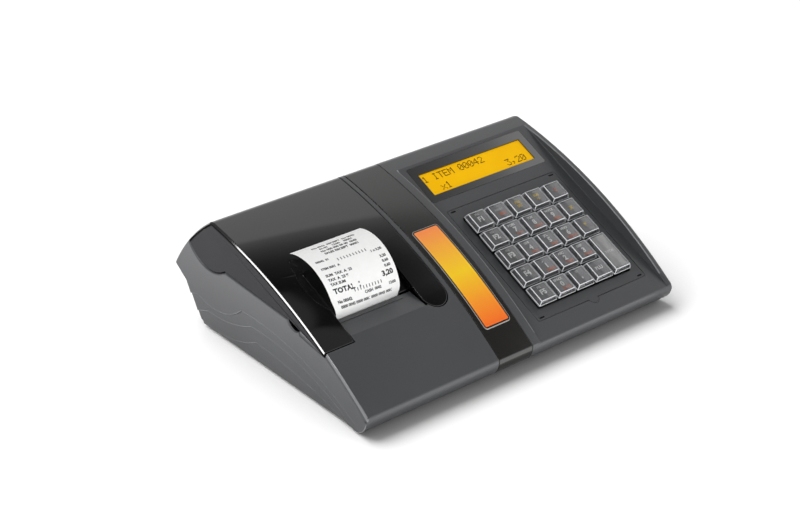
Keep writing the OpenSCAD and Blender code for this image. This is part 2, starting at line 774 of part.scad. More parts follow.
module paper_bin() color("dimgray") {
    along_x(paper_x - bin_w / 2, paper_x + bin_w / 2) difference() {
        bin_area(bin_t);
        bin_area(0);
    }
    for (x = [paper_x - bin_w / 2 - bin_t, paper_x + bin_w / 2]) along_x(x, x + bin_t) bin_area(bin_t);
}

// Two chassis plates with the hinge arms at the rear, a bracket behind the print head and a rear bar
module head_frame() translate(platen) rotate(head_dir) children();
module printer_chassis() color("slategray") {
    arm = hinge + polar(hub_r, 105);
    heel_p = hinge + polar(hub_r, 320);
    difference() {
        for (x = plate_x) along_x(x, x + plate_t) {
            disc(hinge, hub_r);
            polygon([arm, arm + polar(58, 195), [platen_y + 17, 58], [platen_y + 14, 44],
                [tear[0] - 4, 44], [tear[0] - 9, 30], [tear[0] - 9, floor_z], [36, floor_z],
                heel_p + polar(62, 230), heel_p]);
        }
        along_x(plate_x[0] - 1, plate_x[1] + plate_t + 1) disc(hinge, hinge_pin_r);
        along_x(plate_x[1] - 1, plate_x[1] + plate_t + 1) disc(pinion, 1.6);
    }
    along_x(plate_x[0] + touch, plate_x[1] + touch) {
        head_frame() translate([bracket_x, -2]) square([bracket_t, 7]);
        translate([28, floor_z + touch]) square([6, 6]);
    }
    along_x(gear_x - 0.4, plate_x[1] + touch) disc(idler, 1.5);
}

module thermal_head() color("silver") along_x(paper_x - paper_w / 2 - 1, paper_x + paper_w / 2 + 1) {
    head_frame() {
        translate([head_face + 0.4, -4]) square([head_t - 0.4, 10]);
        translate([head_face, -1.2]) square([0.5, 2.4]);
    }
}

module head_spring() color("silver") for (x = [paper_x - 18, paper_x + 10]) along_x(x, x + 8) head_frame()
    polygon([[head_face + head_t, 0], [head_face + head_t, 1.4], [bracket_x, 4.4], [bracket_x, 3]]);

// Gear with straight-flanked teeth, one tooth on its own X axis
module gear_outline(teeth) {
    pitch_r = gear_module * teeth / 2;
    tip_r = pitch_r + 0.8 * gear_module;
    root_r = pitch_r - 1.1 * gear_module;
    root_a = 360 / teeth * 0.31;
    tip_a = 360 / teeth * 0.1;
    circle(root_r + touch, $fn = 64);
    for (i = [0:teeth - 1]) rotate(360 / teeth * i)
        polygon([polar(root_r - 0.3, -root_a), polar(tip_r, -tip_a),
            polar(tip_r, tip_a), polar(root_r - 0.3, root_a)]);
}

module platen_roller() color("black") {
    along_x(paper_x - paper_w / 2 - 0.5, paper_x + paper_w / 2 + 0.5) disc(platen, platen_r);
    along_x(ear_x[0] - 0.6, gear_x + gear_w) disc(platen, shaft_r);
}

module platen_gear() color("ivory") along_x(gear_x, gear_x + gear_w) difference() {
    translate(platen) rotate(idler_dir) gear_outline(platen_teeth);
    disc(platen, shaft_r + 0.01);
}

module idler_gear() color("ivory") along_x(gear_x, gear_x + gear_w) difference() {
    translate(idler) rotate(idler_phase) gear_outline(idler_teeth);
    disc(idler, 1.55);
}

module motor_pinion() color("goldenrod") {
    along_x(gear_x, gear_x + gear_w) translate(pinion) rotate(pinion_a) gear_outline(pinion_teeth);
    along_x(gear_x + gear_w - touch, plate_x[1] + plate_t + 5) disc(pinion, 1);
}

module stepper_motor() color("silver")
    along_x(plate_x[1] + plate_t, plate_x[1] + plate_t + motor_l) difference() {
        disc(pinion, motor_r);
        disc(pinion, 1.05);
    }

module display_bezel() color("black") difference() {
    deck_plate(display_x, bezel_mid, bezel_w, bezel_h, -bezel_t, 0, 2);
    deck_plate(display_x, lcd_v, lcd_w, lcd_h, -bezel_t - 1, 1, 0.6);
}

// Display glass in its carrier, with the driver board behind
module lcd_module() color("gold") {
    deck_plate(display_x, lcd_v, lcd_w - 2 * fit, lcd_h - 2 * fit, -bezel_t - 0.2, -lcd_sink, 0.5);
    deck_plate(display_x, lcd_v, lcd_w + 2 * lcd_flange, lcd_h + 2 * lcd_flange,
        lcd_back - touch, -bezel_t - 0.1, 1);
    deck_plate(display_x, bezel_mid, bezel_w + 2 * lcd_post_r + 0.6, lcd_h + 10 + 2 * lcd_post_r + 0.6,
        lcd_back - board_t, lcd_back, 2);
}

module block_plate(grow, low, high, r = 1.5)
    deck_plate(block_mid, block_v, block_w + 2 * grow, block_l + 2 * grow, low, high, r);

// Removable frame plate with a finger tab, four release slots and a collar that holds the key guide
module keyboard_frame() color("dimgray") difference() {
    union() {
        deck_plate(block_mid, frame_v, frame_w, frame_v1 - frame_v0, -frame_t, 0, 2);
        on_deck() translate([block_mid, frame_v0, -frame_t]) cylinder(h = frame_t, r = tab_r);
        block_plate(key_play + collar_t, board_top, -frame_t + touch);
    }
    block_plate(key_play, guide_bottom, 10);
    block_plate(-ledge, board_top - 1, guide_bottom + touch);
    for (x = [-1, 1], v = [frame_v0 + 2.2, frame_v1 - 2.2])
        deck_plate(block_mid + x * (frame_w / 2 - 5), v, 5, 1.4, -frame_t - 1, 1, 0.6);
}

function key_x(col) = block_x0 + (pitch_x - key_gap) / 2 + col * pitch_x;
function key_v(row) = block_v0 + block_l - (pitch_v - key_gap) / 2 - row * pitch_v;

module at_keys() for (col = [0:key_cols - 1], row = [0:key_rows - 1])
    if (!(col == key_cols - 1 && row == key_rows - 1))
        translate([key_x(col), key_v(row + (col == key_cols - 1 && row == key_rows - 2 ? 0.5 : 0)), 0])
            children();

module key_guide() color("gray") difference() {
    block_plate(key_play - 0.2, guide_bottom + touch, guide_top);
    on_deck() at_keys() translate([0, 0, guide_bottom - 1])
        linear_extrude(guide_t + 2) square(stem + 0.6, center = true);
}

module dome_mat() color("gainsboro") on_deck() {
    translate([block_mid, block_v, board_top]) linear_extrude(mat_t) rounded(block_w - 2.6, block_l - 2.6, 2);
    at_keys() translate([0, 0, mat_top - touch]) cylinder(h = dome_h + touch, r1 = 5, r2 = 3.6);
}

module keyboard_board() color("darkgreen")
    block_plate(key_play + collar_t, board_top - board_t, board_top);

// Key: a cap with sloping sides on a square stem with a snap barb
module key(col, row, span = 1) color("lightgray") on_deck()
    translate([key_x(col), key_v(row + (span - 1) / 2), 0]) {
        foot_w = pitch_x - key_gap;
        foot_l = span * pitch_v - key_gap;
        intersection() {
            translate([0, foot_l, 0]) rotate([90, 0, 0])
                linear_extrude(2 * foot_l) key_side(foot_w, foot_w - 2 * key_taper_x);
            translate([-foot_w, 0, 0]) rotate([90, 0, 90])
                linear_extrude(2 * foot_w) key_side(foot_l, foot_l - 2 * key_taper_v);
        }
        translate([0, 0, stem_end]) linear_extrude(-key_sink - stem_end + touch) square(stem, center = true);
        translate([0, 0, stem_end + 1]) linear_extrude(guide_bottom - stem_end - 1.3)
            square([barb, stem / 2], center = true);
    }

module key_side(foot, top) polygon([[-foot / 2, -key_sink], [foot / 2, -key_sink], [foot / 2, skirt_h],
    [top / 2, key_rise], [-top / 2, key_rise], [-foot / 2, skirt_h]]);

base_tray();
upper_housing();
centre_strip();
label_plate();
rubber_feet();
case_screws();
battery_pack();
battery_door();
main_board();
dc_inlet();
port_sockets();
printer_cover();
cover_cheek();
cover_frame();
hinge_pins();
tear_bar();
receipt_paper();
paper_roll();
roll_core();
paper_bin();
printer_chassis();
thermal_head();
head_spring();
platen_roller();
platen_gear();
idler_gear();
motor_pinion();
stepper_motor();
display_bezel();
lcd_module();
customer_window();
customer_lcd();
keyboard_frame();
key_guide();
dome_mat();
keyboard_board();
key(0, 0);  // key_f1
key(0, 1);  // key_f2
key(0, 2);  // key_f3
key(0, 3);  // key_f4
key(0, 4);  // key_f5
key(1, 0);  // key_menu
key(1, 1);  // key_7
key(1, 2);  // key_4
key(1, 3);  // key_1
key(1, 4);  // key_0
key(2, 0);  // key_up
key(2, 1);  // key_8
key(2, 2);  // key_5
key(2, 3);  // key_2
key(2, 4);  // key_comma
key(3, 0);  // key_down
key(3, 1);  // key_9
key(3, 2);  // key_6
key(3, 3);  // key_3
key(3, 4);  // key_code
key(4, 0);  // key_clear
key(4, 1);  // key_times
key(4, 2);  // key_percent
key(4, 3, 2);  // key_total
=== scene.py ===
# Compact desk cash register: finishes, clear keys, display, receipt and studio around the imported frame.
import math

import bmesh
import bpy
from mathutils import Matrix, Vector


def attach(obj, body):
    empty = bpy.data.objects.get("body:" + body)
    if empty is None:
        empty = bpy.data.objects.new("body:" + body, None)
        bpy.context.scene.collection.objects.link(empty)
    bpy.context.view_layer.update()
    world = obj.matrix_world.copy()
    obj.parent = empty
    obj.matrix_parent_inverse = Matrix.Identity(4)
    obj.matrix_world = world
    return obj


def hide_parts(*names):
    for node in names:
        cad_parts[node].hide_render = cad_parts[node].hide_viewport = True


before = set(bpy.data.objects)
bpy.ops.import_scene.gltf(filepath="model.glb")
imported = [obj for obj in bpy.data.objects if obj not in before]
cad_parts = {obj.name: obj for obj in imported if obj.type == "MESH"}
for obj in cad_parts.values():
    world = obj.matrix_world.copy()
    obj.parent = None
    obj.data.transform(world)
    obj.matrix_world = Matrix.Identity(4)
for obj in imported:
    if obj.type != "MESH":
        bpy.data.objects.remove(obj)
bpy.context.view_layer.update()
MM = 0.001

# Sizes shared with the solids, in millimetres
SIDE_X = 152.5
LIP_Y, DECK_Z, DECK_TILT = -118.5, 18.5, math.radians(24.853)
DECK_X0, DECK_X1 = 12.5, 147.0
KEY_PITCH, KEY_FOOT, KEY_TOP_W, KEY_TOP_L, KEY_SINK, KEY_RISE = 19.73, 18.0, 14.3, 14.9, -0.8, 6.4
KEY_X0, KEY_V0 = 41.05, 114.33
LCD_X, LCD_V, LCD_LEVEL = 78.5, 163.63, -0.9
LABEL_X, LABEL_Y, LABEL_W, LABEL_L = -12.2, -55.25, 25.0, 86.5
NOTCH, NOTCH_R = Vector((-37, 62)), 9
PAPER_X, PAPER_W, PAPER_T = -96.0, 57.0, 0.1
HINGE, PATH_R = Vector((71.8, 88.0)), 124.2
PLATEN, WRAP_R = Vector((-39.123, 48.0)), 6.32
DECK = Matrix.Translation((0, LIP_Y * MM, DECK_Z * MM)) @ Matrix.Rotation(DECK_TILT, 4, "X")

# Angles from which an edge counts as sharp: on the mouldings, on keys and paper, and within a flat face
SHARP, SOFT, FLAT = math.radians(35), math.radians(40), math.radians(0.3)
# Share of a normal along one axis from which a face counts as facing that way
FACING = 0.9


# Modelling helpers

def select_only(*pieces):
    bpy.ops.object.select_all(action="DESELECT")
    for piece in pieces:
        piece.select_set(True)
    bpy.context.view_layer.objects.active = pieces[0]


def settle(piece, place):
    """Moves a piece to its place and leaves that place in its mesh."""
    select_only(piece)
    piece.matrix_world = place
    bpy.ops.object.transform_apply(location=True, rotation=True, scale=True)


def apply_modifier(piece, kind, **settings):
    select_only(piece)
    modifier = piece.modifiers.new(kind.title(), kind)
    for name, value in settings.items():
        setattr(modifier, name, value)
    bpy.ops.object.modifier_apply(modifier=modifier.name)


def dress(piece, name, body, slot, *materials):
    piece.name = piece.data.name = name
    for material in materials:
        piece.data.materials.append(material)
    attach(piece, body)


def rounded(piece, radius, chosen, skin=-1, segments=3):
    """Rounds the outward edges that chosen picks by their middle and length in millimetres and their two faces'
    normals; skin numbers the material of the new faces, or at -1 leaves their neighbours' material on them."""
    select_only(piece)
    bpy.ops.object.mode_set(mode="EDIT")
    bpy.ops.mesh.select_mode(type="EDGE")
    bpy.ops.mesh.select_all(action="DESELECT")
    shape = bmesh.from_edit_mesh(piece.data)
    for edge in shape.edges:
        if edge.is_convex and len(edge.link_faces) == 2 and edge.calc_face_angle() > SHARP:
            middle = (edge.verts[0].co + edge.verts[1].co) / (2 * MM)
            edge.select_set(chosen(middle, edge.calc_length() / MM, *(face.normal for face in edge.link_faces)))
    bmesh.update_edit_mesh(piece.data)
    bpy.ops.mesh.bevel(offset=radius * MM, segments=segments, affect="EDGES", clamp_overlap=False, material=skin)
    bpy.ops.object.mode_set(mode="OBJECT")


def moulding(node, body, materials, slot, *rounds):
    """A copy of a moulded CAD piece, shown in place of the node, with each of its rounds given as rounded takes it."""
    piece = bpy.data.objects.new(node + "_moulding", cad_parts[node].data.copy())
    bpy.context.scene.collection.objects.link(piece)
    piece.data.materials.clear()
    dress(piece, node + "_moulding", body, slot, *materials)
    select_only(piece)
    bpy.ops.object.mode_set(mode="EDIT")
    bpy.ops.mesh.select_all(action="SELECT")
    bpy.ops.mesh.remove_doubles(threshold=0.001 * MM)
    bpy.ops.mesh.dissolve_limited(angle_limit=FLAT)
    bpy.ops.object.mode_set(mode="OBJECT")
    for choice in rounds:
        rounded(piece, *choice)
    select_only(piece)
    bpy.ops.object.shade_smooth_by_angle(angle=SHARP)
    apply_modifier(piece, "WEIGHTED_NORMAL", keep_sharp=True)
    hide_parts(node)
    return piece


# Materials

def linear(code):
    """sRGB hex to linear RGBA."""
    parts = [int(code[i:i + 2], 16) / 255 for i in (1, 3, 5)]
    return (*[p / 12.92 if p <= 0.04045 else ((p + 0.055) / 1.055) ** 2.4 for p in parts], 1.0)


def add(tree, kind, settings=None, **inputs):
    """Adds a node with its settings, its input values and its links; i0, i1 name sockets by number."""
    made = tree.nodes.new(kind)
    for name, value in (settings or {}).items():
        setattr(made, name, value)
    for name, value in inputs.items():
        by_number = name[0] == "i" and name[1:].isdigit()
        socket = made.inputs[int(name[1:]) if by_number else name.replace("_", " ")]
        if isinstance(value, bpy.types.NodeSocket):
            tree.links.new(value, socket)
        else:
            socket.default_value = value
    return made


def finish(name, colour, roughness, ior=1.5, **sockets):
    """A new material with a Principled surface, and its tree and surface for more detail."""
    material = bpy.data.materials.new(name)
    material.use_nodes = True
    tree = material.node_tree
    surface = tree.nodes["Principled BSDF"]
    surface.inputs["Base Color"].default_value = linear(colour)
    surface.inputs["Roughness"].default_value = roughness
    surface.inputs["IOR"].default_value = ior
    for socket, value in sockets.items():
        surface.inputs[socket.replace("_", " ")].default_value = value
    return material, tree, surface


def graded(ramp, *stops):
    """Sets a colour ramp's stops from (position, hex colour)."""
    elements = ramp.color_ramp.elements
    while len(elements) < len(stops):
        elements.new(0.5)
    for element, (position, colour) in zip(elements, stops):
        element.position = position
        element.color = linear(colour)


def mottled(tree, surface, dark, light, size_mm, contrast=0.5):
    """Slow colour drift between two tones, in patches of about the given size."""
    place = add(tree, "ShaderNodeTexCoord").outputs["Object"]
    noise = add(tree, "ShaderNodeTexNoise", Vector=place, Scale=1 / (size_mm * MM), Detail=3.0)
    ramp = add(tree, "ShaderNodeValToRGB", Fac=noise.outputs["Fac"])
    graded(ramp, (0.5 - contrast / 2, dark), (0.5 + contrast / 2, light))
    tree.links.new(ramp.outputs["Color"], surface.inputs["Base Color"])


def grained(tree, surface, grain_mm, height_mm, strength=1.0):
    """Raised grain, by its spacing and height."""
    place = add(tree, "ShaderNodeTexCoord").outputs["Object"]
    noise = add(tree, "ShaderNodeTexNoise", Vector=place, Scale=1 / (grain_mm * MM), Detail=2.0)
    bump = add(tree, "ShaderNodeBump", Height=noise.outputs["Fac"], Distance=height_mm * MM, Strength=strength)
    tree.links.new(bump.outputs["Normal"], surface.inputs["Normal"])


# Grey ABS moulded in a spark-eroded tool: satin, with an even grain that breaks up highlights; the grain is drawn
# at 0.6 mm, coarser than the real tenth of a millimetre, so that it shows
shell_abs, tree, surface = finish("grey_moulded_abs", "#404143", 0.36)
mottled(tree, surface, "#3E3F41", "#424345", 60)
grained(tree, surface, 0.6, 0.006)

# Pale colour painted on the shell's sharpest arrises, smoother than the shell: painted highlights as thin paler lines
# along the steps, the rims and the left side's front edge
painted_highlight_abs, tree, surface = finish("painted_highlight_abs_arris", "#7A7B7D", 0.15)
mottled(tree, surface, "#747577", "#808183", 40)

# The same ABS on the cover's cheek, moulded a tone darker
cheek_abs, tree, surface = finish("dark_moulded_abs", "#232326", 0.45, Specular_IOR_Level=0.11)
mottled(tree, surface, "#212124", "#262629", 60)
grained(tree, surface, 0.6, 0.006)

# Piano-black ABS from a polished tool: mirror gloss with a faint long-wave ripple
gloss_abs, tree, surface = finish("polished_black_abs", "#070708", 0.03, ior=1.58)
mottled(tree, surface, "#060607", "#09090A", 80)
grained(tree, surface, 45, 0.02, 0.3)

# The cover's narrow bevel, buffed brighter than the face beside it
edge_abs, tree, surface = finish("buffed_black_abs_edge", "#0B0B0C", 0.08, ior=1.6, Specular_IOR_Level=1.0)
mottled(tree, surface, "#090909", "#0E0E0F", 30)
grained(tree, surface, 45, 0.02, 0.3)

# Smoke-brown gloss ABS of the centre strip
strip_abs, tree, surface = finish("polished_smoke_abs", "#1D1C1A", 0.12)
mottled(tree, surface, "#1B1A18", "#201F1D", 50)
grained(tree, surface, 45, 0.02, 0.3)

# Charcoal acrylic face of the display bezel, polished flat
bezel_acrylic, tree, surface = finish("charcoal_acrylic", "#101114", 0.05, ior=1.6, Specular_IOR_Level=1.0)
mottled(tree, surface, "#0F1013", "#121316", 30)

# Satin ABS of the keyboard frame, a touch darker than the shell
frame_abs, tree, surface = finish("satin_frame_abs", "#3B3C3E", 0.4)
mottled(tree, surface, "#393A3C", "#3E3F41", 40)
grained(tree, surface, 0.6, 0.008)

# Clear polycarbonate key caps: water-clear, polished, with the slight waviness of a thick moulding
clear_pc, tree, surface = finish("clear_polycarbonate", "#F2F3F5", 0.03, ior=1.58, Transmission_Weight=1.0)
mottled(tree, surface, "#F0F1F3", "#F4F5F7", 8)
grained(tree, surface, 6, 0.02, 0.4)

# Pale colour painted on the clear caps' rounded edges and skirts as their highlights: smooth, pale lines around each
# key
painted_highlight_pc, tree, surface = finish("painted_highlight_polycarbonate_edge", "#E2E4E7", 0.25, ior=1.58)
mottled(tree, surface, "#D8DADD", "#ECEEF1", 5)

# Near-black, dull ABS on the cover's side wall and the finger notch: painted shadow, so that both read as shade
painted_shadow_abs, tree, surface = finish("painted_shadow_black_abs", "#060607", 0.6, Specular_IOR_Level=0.03)
mottled(tree, surface, "#050506", "#080809", 12)
grained(tree, surface, 0.6, 0.006)

# Smoke-grey ABS of the key bodies under the caps: lit at the outer keys, dark between neighbours
key_abs, tree, surface = finish("key_body_abs", "#747476", 0.5)
mottled(tree, surface, "#6E6E70", "#7B7B7C", 12)

# Printed card inserts under the caps, uncoated and slightly fibrous: darker in the first column, paler on the
# double key
insert_card, tree, surface = finish("key_insert_card", "#98989A", 0.7)
mottled(tree, surface, "#929294", "#9F9FA1", 5)
dark_card, tree, surface = finish("dark_key_insert_card", "#828283", 0.7)
mottled(tree, surface, "#7C7C7D", "#898989", 5)
pale_card, tree, surface = finish("pale_key_insert_card", "#C8C8C6", 0.7)
mottled(tree, surface, "#C2C2C0", "#CFCFCD", 5)

# Screen-printed inks: nearly opaque, a little thinner in places
white_ink, tree, surface = finish("white_legend_ink", "#F6F6F4", 0.6)
mottled(tree, surface, "#F0F0EE", "#FBFBF9", 2)
grey_ink, tree, surface = finish("grey_legend_ink", "#C4C4C3", 0.6)
mottled(tree, surface, "#BBBBBA", "#CDCDCC", 2)
red_ink, tree, surface = finish("brick_red_legend_ink", "#E8855F", 0.6)
mottled(tree, surface, "#E07D58", "#EF8E68", 2)
yellow_ink, tree, surface = finish("yellow_legend_ink", "#F4D25C", 0.6)
mottled(tree, surface, "#EDCA54", "#FADA66", 2)

# Thermal print: near black, burnt unevenly dot by dot
print_ink, tree, surface = finish("thermal_print", "#1E1E20", 0.8)
mottled(tree, surface, "#161618", "#2A2A2C", 0.8)

# Backlit display: amber diffuser behind glass, its glow a little uneven
amber_glass, tree, surface = finish(
    "amber_backlit_display", "#F0B800", 0.3, Emission_Strength=0.17, Specular_IOR_Level=0.05)
mottled(tree, surface, "#ECB200", "#F4BE04", 25)
surface.inputs["Emission Color"].default_value = linear("#F0AC00")

# Dark liquid-crystal dots behind the same glass
lcd_dot, tree, surface = finish("liquid_crystal_dot", "#1E1404", 0.3, Specular_IOR_Level=0.05)
mottled(tree, surface, "#191003", "#241906", 1)

# Thermal paper: white and coated, with a faint fibre, drawn coarser than the real one so that it shows
paper, tree, surface = finish("thermal_paper", "#FAFAF9", 0.6)
mottled(tree, surface, "#F7F7F6", "#FCFCFB", 4)
grained(tree, surface, 0.5, 0.004)

# Satin polyester film of the label: a warm gradient along its length, a dark border and a pale rim
LABEL_EDGE, BORDER_FROM, RIM_FROM = 2.5, 0.45, 0.86
label_film, tree, surface = finish("printed_polyester_film", "#FF9A55", 0.22)
place = add(tree, "ShaderNodeTexCoord").outputs["Object"]
across = add(tree, "ShaderNodeMapping", Vector=place, Location=(-LABEL_X * MM, -LABEL_Y * MM, 0))
folded = add(tree, "ShaderNodeVectorMath", {"operation": "ABSOLUTE"}, i0=across.outputs["Vector"])
corner = Vector(((LABEL_W / 2 - LABEL_EDGE) * MM, (LABEL_L / 2 - LABEL_EDGE) * MM, 1.0))
beyond = add(tree, "ShaderNodeVectorMath", {"operation": "SUBTRACT"}, i0=folded.outputs["Vector"], i1=corner)
outside = add(tree, "ShaderNodeVectorMath", {"operation": "MAXIMUM"}, i0=beyond.outputs["Vector"], i1=(0, 0, 0))
reach = add(tree, "ShaderNodeVectorMath", {"operation": "LENGTH"}, i0=outside.outputs["Vector"])
edge = add(tree, "ShaderNodeMapRange", Value=reach.outputs["Value"], From_Max=LABEL_EDGE * MM)
border = add(tree, "ShaderNodeValToRGB", Fac=edge.outputs["Result"])
border.color_ramp.interpolation = "CONSTANT"
graded(border, (0.0, "#000000"), (BORDER_FROM, "#FFFFFF"))
pale_rim = add(tree, "ShaderNodeMath", {"operation": "GREATER_THAN"}, i0=edge.outputs["Result"], i1=RIM_FROM)
along = add(tree, "ShaderNodeSeparateXYZ", Vector=across.outputs["Vector"])
share = add(
    tree, "ShaderNodeMapRange", Value=along.outputs["Y"], From_Min=-LABEL_L / 2 * MM, From_Max=LABEL_L / 2 * MM)
warm = add(tree, "ShaderNodeValToRGB", Fac=share.outputs["Result"])
graded(warm, (0.0, "#FF6A14"), (0.22, "#FF9A1E"), (0.5, "#FFD000"), (0.75, "#FFB22E"), (1.0, "#FF8A4A"))
lined = add(
    tree, "ShaderNodeMix", {"data_type": "RGBA"},
    i0=border.outputs["Color"], i6=warm.outputs["Color"], i7=linear("#0E0D0C"))
bordered = add(
    tree, "ShaderNodeMix", {"data_type": "RGBA"},
    i0=pale_rim.outputs["Value"], i6=lined.outputs[2], i7=linear("#A8A49E"))
tree.links.new(bordered.outputs[2], surface.inputs["Base Color"])

# Moulded rubber of the feet and the platen: dull black with a dusty bloom
rubber, tree, surface = finish("black_rubber", "#161616", 0.8)
mottled(tree, surface, "#111111", "#1D1D1C", 5)
grained(tree, surface, 0.6, 0.02)

# Zinc-plated sheet steel of the screws, pins, springs and motor: bright, with faint clouds in the plating
steel, tree, surface = finish("bright_sheet_steel", "#B8B8BA", 0.3, Metallic=1.0)
mottled(tree, surface, "#ABABAE", "#C3C3C4", 6)
grained(tree, surface, 0.4, 0.003)

# Powder-painted steel of the printer chassis: even grey with a light orange peel
chassis_steel, tree, surface = finish("painted_chassis_steel", "#5A5C60", 0.45)
mottled(tree, surface, "#55575B", "#5F6165", 14)
grained(tree, surface, 0.8, 0.01)

# Extruded aluminium of the thermal head: pale, slightly clouded metal
aluminium, tree, surface = finish("extruded_aluminium", "#C6C7CA", 0.35, Metallic=1.0)
mottled(tree, surface, "#BCBDC0", "#CFD0D3", 5)
grained(tree, surface, 0.4, 0.003)

# Circuit board under green solder mask, patchy where copper lies below
board, tree, surface = finish("green_circuit_board", "#1B5A33", 0.4)
mottled(tree, surface, "#174F2C", "#1F6439", 8)

# Black nylon of the sockets and the key guide, with flow marks from the mould
socket_nylon, tree, surface = finish("black_socket_nylon", "#131314", 0.5)
mottled(tree, surface, "#0F0F10", "#18181A", 6)
grained(tree, surface, 0.5, 0.01)

# Blue shrink wrap of the battery, stretched thinner in places
blue_wrap, tree, surface = finish("blue_shrink_wrap", "#1E3F86", 0.35)
mottled(tree, surface, "#1B3A7C", "#224691", 15)

# Brown core board of the paper roll, flecked with fibre
card_core, tree, surface = finish("brown_core_board", "#A5865F", 0.85)
mottled(tree, surface, "#98794F", "#B09268", 3)

# Natural acetal of the gears: milky and waxy
acetal, tree, surface = finish("natural_acetal", "#E4E0D0", 0.4)
mottled(tree, surface, "#E0DBCA", "#E8E4D5", 10)

# Turned brass of the motor's pinion, tarnished in spots
brass, tree, surface = finish("turned_brass", "#C9A254", 0.3, Metallic=1.0)
mottled(tree, surface, "#BD964A", "#D3AD60", 3)
grained(tree, surface, 0.2, 0.003)

# Silicone of the dome mat: pale, cloudy and dull
silicone, tree, surface = finish("translucent_silicone", "#D0D0CC", 0.6)
mottled(tree, surface, "#CBCBC6", "#D5D5D1", 10)

NODE_MATERIAL = {
    "label_plate": label_film, "rubber_feet": rubber, "case_screws": steel, "battery_pack": blue_wrap,
    "main_board": board, "dc_inlet": socket_nylon, "port_sockets": socket_nylon, "cover_frame": frame_abs,
    "hinge_pins": steel, "tear_bar": shell_abs, "paper_roll": paper, "roll_core": card_core,
    "paper_bin": frame_abs, "printer_chassis": chassis_steel, "thermal_head": aluminium, "head_spring": steel,
    "platen_roller": rubber, "platen_gear": acetal, "idler_gear": acetal, "motor_pinion": brass,
    "stepper_motor": steel, "lcd_module": amber_glass, "customer_window": gloss_abs, "customer_lcd": board,
    "key_guide": socket_nylon, "dome_mat": silicone, "keyboard_board": board,
}
for node, material in NODE_MATERIAL.items():
    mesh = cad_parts[node].data
    mesh.materials.clear()
    mesh.materials.append(material)


# Moulded shells with rounded edges

def side_edge(middle, length, a, b):
    """Upper edges of the two outer sides."""
    return abs(middle.x) > SIDE_X - 0.1 and max(a.z, b.z) > 0.05 and max(abs(a.x), abs(b.x)) > FACING


def rim_edge(middle, length, a, b):
    """Upper edges of the rims beside the sunken deck."""
    inner = abs(middle.x - DECK_X0) < 1.2 or abs(middle.x - DECK_X1) < 1.2
    return inner and middle.y > LIP_Y + 8 and max(abs(a.x), abs(b.x)) > FACING and max(a.z, b.z) > 0.5


def lip_edge(middle, length, a, b):
    """The long edges of the front lip."""
    return middle.y < LIP_Y + 1 and middle.z > 15 and length > 2 and abs(a.x) + abs(b.x) < 0.2


def any_edge(middle, length, a, b):
    """Every edge but the shortest."""
    return length > SHORTEST


def inner_edge(middle, length, a, b):
    """Every edge but the shortest and those on the left side."""
    return length > SHORTEST and middle.x > 0.5 - SIDE_X


def step_edge(middle, length, a, b):
    """The steps of the side panels, which look down."""
    outer = abs(middle.x) > SIDE_X - 3 and middle.z > 1.5
    return outer and max(abs(a.x), abs(b.x)) > FACING and min(a.z, b.z) < -0.2


def left_edge(middle, length, a, b):
    """The left side's upper edge beside the front panel."""
    return side_edge(middle, length, a, b) and middle.x < 0 and middle.y < -42


def cover_edge(middle, length, a, b):
    """The cover's upper edge on its left side."""
    return middle.x < -SIDE_X + 4.5 and max(a.z, b.z) > 0.3 and min(a.x, b.x) < -FACING


# Sizes of the edges, the material slots of the edge highlights (painted pale on the shell) and of faces with painted
# shadow, and the notch's reach
LEFT_BEVEL, SIDE_ROUND, RIM_ROUND, STEP_ROUND, FINE_ROUND = 2.1, 2.0, 0.8, 0.5, 0.35
COVER_BEVEL, COVER_ROUND, DOOR_ROUND, BEZEL_ROUND, FRAME_ROUND = 1.1, 0.4, 0.3, 0.2, 0.45
HIGHLIGHT_SLOT, SHADE = 1, 2
SHORTEST, NOTCH_DEPTH, NOTCH_MARGIN = 1.0, 4, 0.8
# The left side's front edge, the rims and the steps take the painted highlight
housing = moulding(
    "upper_housing", "body", (shell_abs, painted_highlight_abs, painted_shadow_abs), "shell_grey",
    (LEFT_BEVEL, left_edge, HIGHLIGHT_SLOT, 1), (SIDE_ROUND, side_edge), (RIM_ROUND, rim_edge, HIGHLIGHT_SLOT), (RIM_ROUND, lip_edge),
    (STEP_ROUND, step_edge, HIGHLIGHT_SLOT), (FINE_ROUND, any_edge))
# The finger notch's faces take the painted shadow
for face in housing.data.polygons:
    way = Vector((face.center.y, face.center.z)) - NOTCH * MM
    near = face.center.x < (NOTCH_DEPTH - SIDE_X) * MM and way.length < (NOTCH_R + NOTCH_MARGIN) * MM
    if near and face.normal.x > -0.5:
        face.material_index = SHADE
# The base's steps take the painted highlight too
moulding(
    "base_tray", "body", (shell_abs, painted_highlight_abs), "shell_grey", (STEP_ROUND, step_edge, HIGHLIGHT_SLOT), (FINE_ROUND, any_edge))
moulding("battery_door", "body", (shell_abs,), "shell_grey", (DOOR_ROUND, any_edge))
moulding("centre_strip", "body", (strip_abs,), "strip_gloss", (COVER_ROUND, any_edge))
moulding("display_bezel", "body", (bezel_acrylic,), "gloss_black", (BEZEL_ROUND, any_edge))
moulding("keyboard_frame", "body", (frame_abs,), "frame_grey", (FRAME_ROUND, any_edge))
cover = moulding(
    "printer_cover", "cover", (gloss_abs, edge_abs, painted_shadow_abs), "gloss_black",
    (COVER_BEVEL, cover_edge, HIGHLIGHT_SLOT, 1), (COVER_ROUND, inner_edge))
# The cover's left side wall takes the painted shadow
for face in cover.data.polygons:
    if face.normal.x < -FACING and face.center.x < (0.5 - SIDE_X) * MM:
        face.material_index = SHADE
moulding("cover_cheek", "cover", (cheek_abs,), "shell_grey", (COVER_ROUND, any_edge))


# Clear key caps over printed inserts

# Parts of a normal: a face that lies level, and how near to a slope's own a normal has to be
LEVEL, NEAR = 0.99, 0.02
# Capitals' share of the type size, and how far the outline is swollen for its bold print
CAPITALS, SWELL = 0.7, 0.065
# Height of ink over what it is printed on
INK_LIFT = 0.05


